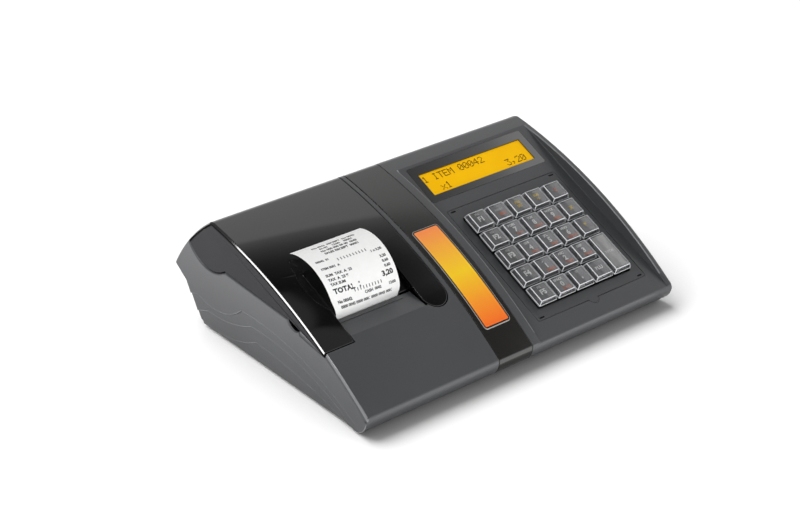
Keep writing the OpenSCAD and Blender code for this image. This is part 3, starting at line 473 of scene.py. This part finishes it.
def key_form(name, width, length, top_w, top_l, low, skirt, high, bevel, materials):
    """A block with an upright skirt and sides that slope in to its top."""
    bpy.ops.object.select_all(action="DESELECT")
    bpy.ops.mesh.primitive_cube_add(size=1)
    piece = bpy.context.active_object
    piece.name = name
    middle = Matrix.Translation((0, 0, (low + skirt) / 2 * MM))
    settle(piece, middle @ Matrix.Diagonal((width * MM, length * MM, (skirt - low) * MM, 1)))
    bpy.ops.object.mode_set(mode="EDIT")
    bpy.ops.mesh.select_mode(type="FACE")
    bpy.ops.mesh.select_all(action="DESELECT")
    bpy.ops.object.mode_set(mode="OBJECT")
    for face in piece.data.polygons:
        face.select = face.normal.z > FACING
    bpy.ops.object.mode_set(mode="EDIT")
    bpy.ops.mesh.extrude_region_move(TRANSFORM_OT_translate={"value": (0, 0, (high - skirt) * MM)})
    bpy.ops.transform.resize(value=(top_w / width, top_l / length, 1), center_override=(0, 0, high * MM))
    bpy.ops.object.mode_set(mode="OBJECT")
    apply_modifier(piece, "BEVEL", width=bevel * MM, segments=2, limit_method="ANGLE", angle_limit=math.radians(15))
    select_only(piece)
    bpy.ops.object.shade_smooth_by_angle(angle=SOFT)
    for material in materials:
        piece.data.materials.append(material)
    return piece


def paint_cap_highlights(cap, slope_x, slope_y):
    """Gives a cap's rounded edges and skirt the second material, their painted highlight, leaving its top and slopes
    the first.
    """
    for face in cap.data.polygons:
        x, y, z = face.normal
        slope = abs(z - slope_x) < NEAR and abs(y) < NEAR or abs(z - slope_y) < NEAR and abs(x) < NEAR
        face.material_index = 0 if z > LEVEL or slope else 1


def card_top(core):
    """Gives the top of a key's body its card."""
    for face in core.data.polygons:
        face.material_index = 1 if face.normal.z > LEVEL else 0


def copied(master):
    piece = bpy.data.objects.new(master.name, master.data.copy())
    bpy.context.scene.collection.objects.link(piece)
    return piece


def lettering(words, size, align="CENTER"):
    """Flat printed text as a mesh in its own plane, size being the capitals' height."""
    bpy.ops.object.select_all(action="DESELECT")
    bpy.ops.object.text_add()
    piece = bpy.context.active_object
    piece.data.body = words
    piece.data.size = size / CAPITALS * MM
    piece.data.align_x = align
    piece.data.align_y = "CENTER"
    piece.data.resolution_u = 2
    piece.data.offset = SWELL * size * MM
    bpy.ops.object.convert(target="MESH")
    return bpy.context.active_object


def printed(words, size, place, material, name, body, slot):
    piece = lettering(words, size)
    settle(piece, place)
    dress(piece, name, body, slot, material)


# A cap's wall, lid and skirt and the core's inset at its top, then both forms' feet, tops, levels and edges
WALL, LID, CAP_SKIRT, CORE_IN = 1.2, 1.1, 2.4, 0.9
CORE_FOOT, CORE_W, CORE_L = KEY_FOOT - 2 * WALL, KEY_TOP_W - 2 * CORE_IN, KEY_TOP_L - 2 * CORE_IN
CAP_FOOT, CAP_W, CAP_L = KEY_FOOT - 0.2, KEY_TOP_W + 0.6, KEY_TOP_L + 0.3
CAP_FORM = (1.5, CAP_SKIRT, KEY_RISE, 0.75, (clear_pc, painted_highlight_pc))
CORE_FORM = (KEY_SINK + 0.1, 1.0, KEY_RISE - LID, 0.25)
single_cap = key_form("cap", CAP_FOOT, CAP_FOOT, CAP_W, CAP_L, *CAP_FORM)
single_core = key_form("core", CORE_FOOT, CORE_FOOT, CORE_W, CORE_L, *CORE_FORM, (key_abs, insert_card))
double_cap = key_form("cap", CAP_FOOT, CAP_FOOT + KEY_PITCH, CAP_W, CAP_L + KEY_PITCH, *CAP_FORM)
double_core = key_form(
    "core", CORE_FOOT, CORE_FOOT + KEY_PITCH, CORE_W, CORE_L + KEY_PITCH, *CORE_FORM, (key_abs, pale_card))
RISE = KEY_RISE - CAP_SKIRT
LEAN_X, LEAN_Y = (CAP_FOOT - CAP_W) / 2, (CAP_FOOT - CAP_L) / 2
# The caps' edges and skirts take the painted highlight
for cap in (single_cap, double_cap):
    paint_cap_highlights(cap, LEAN_X / math.hypot(LEAN_X, RISE), LEAN_Y / math.hypot(LEAN_Y, RISE))
for core in (single_core, double_core):
    card_top(core)

# Marks of each key: column, row, then text, its height, place across and place up, and its ink
MAIN, SMALL, SIDE = (4.3, 0.2, -0.4), (2.0, -0.8, 4.4), (2.2, 1.6, -4.7)
LEGENDS = {
    "key_f1": (0, 0, ("F1", MAIN, white_ink), ("FN", SMALL, grey_ink)),
    "key_f2": (0, 1, ("F2", MAIN, white_ink), ("FN", SMALL, grey_ink)),
    "key_f3": (0, 2, ("F3", MAIN, white_ink), ("FN", SMALL, grey_ink)),
    "key_f4": (0, 3, ("F4", MAIN, white_ink), ("FN", SMALL, grey_ink)),
    "key_f5": (0, 4, ("F5", MAIN, white_ink), ("FN", SMALL, grey_ink)),
    "key_menu": (1, 0, ("MENU", (1.9, 0, 1.9), grey_ink), ("ESC", (2.6, 1.2, -2.6), red_ink)),
    "key_7": (1, 1, ("7", MAIN, white_ink), ("PQRS", SMALL, white_ink), ("QTY", SIDE, red_ink)),
    "key_4": (1, 2, ("4", MAIN, white_ink), ("GHI", SMALL, white_ink), ("DAY", SIDE, red_ink)),
    "key_1": (1, 3, ("1", MAIN, white_ink), (".,-", SMALL, white_ink), ("OPEN", SIDE, red_ink)),
    "key_0": (1, 4, ("0", MAIN, white_ink), ("SPACE", SMALL, white_ink), ("RATE", SIDE, red_ink)),
    "key_up": (2, 0, ("PRE", (2.2, 0, 1.9), yellow_ink), ("SET", (2.2, 0, -1.8), yellow_ink)),
    "key_8": (2, 1, ("8", MAIN, white_ink), ("TUV", SMALL, white_ink), ("COPY", SIDE, red_ink)),
    "key_5": (2, 2, ("5", MAIN, white_ink), ("JKL", SMALL, white_ink), ("SUM", SIDE, red_ink)),
    "key_2": (2, 3, ("2", MAIN, white_ink), ("ABC", SMALL, white_ink), ("VOID", SIDE, red_ink)),
    "key_comma": (2, 4, (",", MAIN, white_ink), ("00", SMALL, grey_ink)),
    "key_down": (3, 0, ("SUB", (2.2, 0, 1.9), yellow_ink), ("+/-", (2.2, 0, -1.8), yellow_ink)),
    "key_9": (3, 1, ("9", MAIN, white_ink), ("WXYZ", SMALL, white_ink), ("FEED", SIDE, red_ink)),
    "key_6": (3, 2, ("6", MAIN, white_ink), ("MNO", SMALL, white_ink), ("DRAW", SIDE, red_ink)),
    "key_3": (3, 3, ("3", MAIN, white_ink), ("DEF", SMALL, white_ink), ("DATE", SIDE, red_ink)),
    "key_code": (3, 4, ("PLU", (3.0, 0, 0), white_ink)),
    "key_clear": (4, 0, ("C", (3.2, 0, 0), red_ink)),
    "key_times": (4, 1, ("x", (4.0, 0, 0), yellow_ink)),
    "key_percent": (4, 2, ("%", (3.4, 0, 0), yellow_ink)),
    "key_total": (4, 3, ("TOTAL", (2.0, 0, 0), white_ink)),
}
for node, (col, row, *marks) in LEGENDS.items():
    double = node == "key_total"
    v = KEY_V0 - (row + 0.5 * double) * KEY_PITCH
    place = DECK @ Matrix.Translation(((KEY_X0 + col * KEY_PITCH) * MM, v * MM, 0))
    cap = copied(double_cap if double else single_cap)
    settle(cap, place)
    dress(cap, node + "_cap", node, "key_clear")
    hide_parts(node)
    core = copied(double_core if double else single_core)
    settle(core, place)
    if col == 0:
        core.data.materials[1] = dark_card
    dress(core, node + "_insert", node, "key_clear")
    for count, (words, (size, x, y), ink) in enumerate(marks):
        top = place @ Matrix.Translation((x * MM, y * MM, (KEY_RISE - LID + INK_LIFT) * MM))
        printed(words, size, top, ink, f"{node}_mark_{count}", node, "key_clear")
for master in (single_cap, single_core, double_cap, double_core):
    bpy.data.objects.remove(master)

# Dot characters of the display: five by seven dots, each row of a character as five bits
DOTS = {
    "0": (14, 17, 19, 21, 25, 17, 14), "1": (4, 12, 4, 4, 4, 4, 14), "2": (14, 17, 1, 2, 4, 8, 31),
    "3": (31, 2, 4, 2, 1, 17, 14), "4": (2, 6, 10, 18, 31, 2, 2), "5": (31, 16, 30, 1, 1, 17, 14),
    "x": (0, 0, 17, 10, 4, 10, 17), ",": (0, 0, 0, 0, 12, 4, 8),
    "I": (14, 4, 4, 4, 4, 4, 14), "T": (31, 4, 4, 4, 4, 4, 4), "E": (31, 16, 16, 30, 16, 16, 31),
    "M": (17, 27, 21, 21, 17, 17, 17),
}
# Size and corner of a dot, pitch of dots and characters, half the lines' distance, and the first dot's place
DOT, DOT_CORNER, DOT_PITCH, CHAR_PITCH, LINE_UP = 0.84, 0.12, 0.94, 5.25, 5.6
FIRST_DOT, DOT_LIFT = LCD_X - 10 * CHAR_PITCH + 0.8, 0.03
bpy.ops.object.select_all(action="DESELECT")
bpy.ops.mesh.primitive_plane_add(size=1)
dot = bpy.context.active_object
settle(dot, Matrix.Diagonal((DOT * MM, DOT * MM, 1, 1)))
bpy.ops.object.mode_set(mode="EDIT")
bpy.ops.mesh.select_all(action="SELECT")
bpy.ops.mesh.bevel(offset=DOT_CORNER * MM, segments=1, affect="VERTICES")
bpy.ops.object.mode_set(mode="OBJECT")
lit = []
for words, first, line in (("1 ITEM 00042", 0, 1), ("x1", 2, -1), ("3,20", 15, -1)):
    for index, sign in enumerate(words):
        for row, bits in enumerate(DOTS.get(sign, ())):
            for column in range(5):
                if bits >> (4 - column) & 1:
                    x = FIRST_DOT + (first + index) * CHAR_PITCH + column * DOT_PITCH
                    v = LCD_V + line * LINE_UP + (3 - row) * DOT_PITCH
                    spot = copied(dot)
                    settle(spot, DECK @ Matrix.Translation((x * MM, v * MM, (LCD_LEVEL + DOT_LIFT) * MM)))
                    lit.append(spot)
select_only(*lit)
bpy.ops.object.join()
dress(lit[0], "display_characters", "body", "display_amber", lcd_dot)
bpy.data.objects.remove(dot)


# Receipt: a strip of paper off the roll, round the platen, up through the slot and curled back with a twist

# Angles and lengths of the straight inner web, the wrap round the platen, the slot and the free end
WEB_A, WEB_L = math.radians(50.3), 26.8
WRAP_A = math.radians(199.8)
WRAP_L = WRAP_R * (math.radians(320.3) - WRAP_A)
SLOT_L = PATH_R * math.radians(5.4)
FREE_L = 70.0
INNER_L = WEB_L + WRAP_L + SLOT_L
PAPER_L = INNER_L + FREE_L
# The free end's curl at the left edge and at the right one, and the length in which the paper bends into it
CURL_LEFT, CURL_RIGHT = Vector((-7.7, 48.6)), Vector((-16.0, 60.0))
CURL_R_LEFT, CURL_R_RIGHT = 41.7, 36.0
CURL_A_LEFT, CURL_A_RIGHT = math.radians(168), math.radians(183)
BEND_L = 14


def around(centre, radius, turn):
    return centre + radius * Vector((math.cos(turn), math.sin(turn)))


def between(left, right, t):
    return left + (right - left) * t


def paper_line(length, t):
    """Depth and height of the paper at a length from its inner end, t from the left edge to the right."""
    if length < WEB_L:
        return around(around(PLATEN, WRAP_R, WEB_A - math.pi / 2), WEB_L - length, WEB_A)
    length -= WEB_L
    if length < WRAP_L:
        return around(PLATEN, WRAP_R, WEB_A - math.pi / 2 - length / WRAP_R)
    length -= WRAP_L
    if length < SLOT_L:
        return around(HINGE, PATH_R, WRAP_A - length / PATH_R)
    length -= SLOT_L
    turn = WRAP_A - SLOT_L / PATH_R
    straight = around(HINGE, PATH_R, turn) + length * Vector((math.sin(turn), -math.cos(turn)))
    radius = between(CURL_R_LEFT, CURL_R_RIGHT, t)
    turn = between(CURL_A_LEFT, CURL_A_RIGHT, t) - length / radius
    curl = around(between(CURL_LEFT, CURL_RIGHT, t), radius, turn)
    share = min(length / BEND_L, 1)
    return straight.lerp(curl, share * share * (3 - 2 * share))


def on_paper(across, length, lift):
    """Place on the paper's outer face, across from its middle and along from the slot, in metres."""
    t = across / PAPER_W + 0.5
    length += INNER_L
    here = paper_line(length, t)
    way = paper_line(length + 0.05, t) - paper_line(length - 0.05, t)
    out = Vector((-way.y, way.x)).normalized() * lift
    return Vector((PAPER_X + across, here.x + out.x, here.y + out.y)) * MM


bpy.ops.object.select_all(action="DESELECT")
bpy.ops.mesh.primitive_grid_add(x_subdivisions=20, y_subdivisions=96, size=1)
receipt = bpy.context.active_object
for point in receipt.data.vertices:
    length = (point.co.y + 0.5) * PAPER_L - INNER_L
    point.co = on_paper(point.co.x * PAPER_W, length, 0)
apply_modifier(receipt, "SOLIDIFY", thickness=PAPER_T * MM, offset=0)
select_only(receipt)
bpy.ops.object.shade_smooth_by_angle(angle=SOFT)
dress(receipt, "receipt_sheet", "cover", "thermal_paper", paper)
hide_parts("receipt_paper")

# Generic rows of print: text, capital height, across, up from the slot, alignment
PRINT = (
    ("No 0042  RECEIPT  No 0042", 2.0, 1, 62.2, "CENTER"), ("01-01    12:00    00001", 2.0, 1, 58.6, "CENTER"),
    ("No 000 000 00 00  0042", 2.0, 1, 55.0, "CENTER"), ("SALES RECEIPT  00001", 2.0, 1, 51.4, "CENTER"),
    ("00042  01", 1.8, -24, 45.4, "LEFT"), ("1 1 1 1 1 1 1 1 1 1", 2.2, 3, 42.4, "CENTER"),
    ("1 x 3,20", 1.9, 25.5, 39.8, "RIGHT"), ("ITEM 0001  A", 1.8, -24, 38.0, "LEFT"),
    ("3,20", 2.0, 25.5, 33.6, "RIGHT"), ("SUM  TAX  A  23", 2.0, -24, 32.0, "LEFT"),
    ("0,60", 2.0, 25.5, 29.8, "RIGHT"), ("TAX  A  23 %", 2.0, -24, 28.2, "LEFT"),
    ("0,60", 2.0, 25.5, 26.0, "RIGHT"), ("TAX SUM", 2.0, -24, 24.6, "LEFT"),
    ("3,20", 3.7, 25.5, 20.8, "RIGHT"), ("TOTAL  1", 3.7, -24, 19.2, "LEFT"),
    ("1 1 1 1 1 1 1 1 1 1", 2.2, 3, 16.2, "CENTER"), ("CASH  0042", 1.9, 6, 12.6, "CENTER"),
    ("12:00", 1.9, 25.5, 13.0, "RIGHT"),
    ("No 00042", 2.0, -24, 11.4, "LEFT"), ("0000 0042 0000 0001 0000 0042 0001", 2.0, -23, 7.8, "LEFT"),
)
PRINT_LIFT = 0.04
rows = []
for words, size, across, up, align in PRINT:
    row = lettering(words, size, align)
    for point in row.data.vertices:
        point.co = on_paper(point.co.x / MM + across, point.co.y / MM + up, PAPER_T / 2 + PRINT_LIFT)
    rows.append(row)
select_only(*rows)
bpy.ops.object.join()
dress(rows[0], "receipt_print", "cover", "thermal_paper", print_ink)

# Studio: pale floor lit from behind, bright surroundings up to a dark ceiling and a dark corner at the left rear
bpy.ops.object.select_all(action="DESELECT")
bpy.ops.mesh.primitive_plane_add(size=12)
floor = bpy.context.active_object
floor.name = "floor"
floor_paint, tree, surface = finish("pale_studio_floor", "#B4B4B4", 0.9, Specular_IOR_Level=0.0)
floor.data.materials.append(floor_paint)

world = bpy.data.worlds.new("studio")
bpy.context.scene.world = world
world.use_nodes = True
tree = world.node_tree
way = add(tree, "ShaderNodeTexCoord")
# The ceiling's edge comes down a little towards the back and more towards the front; the ramp goes by height
LEAN_BACK, LEAN_FRONT, CORNER_WAY = (0, 0.068, 1), (0, -0.27, 1), (-0.5, 0.866, 0)
RING_LEVEL, CORNER_LEVEL, CORNER_FROM, CORNER_TO = 1.25, 0.25, 0.55, 0.7
view = way.outputs["Generated"]
height = add(tree, "ShaderNodeVectorMath", {"operation": "DOT_PRODUCT"}, i0=view, i1=LEAN_BACK)
front_height = add(tree, "ShaderNodeVectorMath", {"operation": "DOT_PRODUCT"}, i0=view, i1=LEAN_FRONT)
higher = add(
    tree, "ShaderNodeMath", {"operation": "MAXIMUM"}, i0=height.outputs["Value"], i1=front_height.outputs["Value"])
surround = add(tree, "ShaderNodeValToRGB", Fac=higher.outputs["Value"])
graded(
    surround, (0.0, "#FFFFFF"), (0.788, "#FFFFFF"), (0.791, "#D2D2D2"), (0.81, "#9E9E9E"), (0.83, "#6C6C6C"),
    (0.847, "#484848"), (0.855, "#3A3A3A"), (0.859, "#3A3A3A"), (0.864, "#929292"), (1.0, "#8A8A8A"))
corner_way = add(tree, "ShaderNodeVectorMath", {"operation": "DOT_PRODUCT"}, i0=view, i1=CORNER_WAY)
corner_dark = add(
    tree, "ShaderNodeMapRange", Value=corner_way.outputs["Value"],
    From_Min=CORNER_FROM, From_Max=CORNER_TO, To_Min=RING_LEVEL, To_Max=CORNER_LEVEL)
background = tree.nodes["Background"]
tree.links.new(surround.outputs["Color"], background.inputs["Color"])
tree.links.new(corner_dark.outputs["Result"], background.inputs["Strength"])


def lamp(name, kind, place, target, power, **settings):
    data = bpy.data.lights.new(name, kind)
    data.energy = power
    for setting, value in settings.items():
        setattr(data, setting, value)
    holder = bpy.data.objects.new(name, data)
    holder.location = place
    holder.rotation_euler = (Vector(target) - Vector(place)).to_track_quat("-Z", "Y").to_euler()
    holder.visible_camera = False
    bpy.context.scene.collection.objects.link(holder)
    return holder


# Long narrow light high at the left, for the bright lines along the edges
lamp("edge_light", "AREA", (-1.29, 0.28, 1.07), (0, 0, 0.05), 6.5, shape="RECTANGLE", size=1.0, size_y=0.2)
# Low card in front, for the lip
lamp("lip_card", "AREA", (0, -0.148, 0.002), (0, -0.148, 1), 0.045, shape="RECTANGLE", size=0.3, size_y=0.04)
# Low panel on the floor at the left, for the left side
lamp("floor_panel", "AREA", (-0.75, 0.3, 0.002), (-0.75, 0.3, 1), 4, shape="RECTANGLE", size=1.1, size_y=1.4)
# Broad light from behind on the floor alone, laying a soft short shadow to the front
wash = lamp("floor_wash", "SUN", (-0.45, 1.2, 1.64), (0, 0, 0), 7.0, angle=math.radians(60))
only_floor = bpy.data.collections.new("floor_only")
only_floor.objects.link(floor)
wash.light_linking.receiver_collection = only_floor

# Camera at the photograph's place
camera = bpy.data.cameras.new("camera")
camera.lens = 85.05
camera.sensor_width = 36
holder = bpy.data.objects.new("camera", camera)
holder.location = (-0.8266, -0.9815, 0.7397)
holder.rotation_euler = Vector((0.5547, 0.6796, -0.4801)).to_track_quat("-Z", "Y").to_euler()
bpy.context.scene.collection.objects.link(holder)
bpy.context.scene.camera = holder
bpy.context.scene.view_settings.view_transform = "Standard"
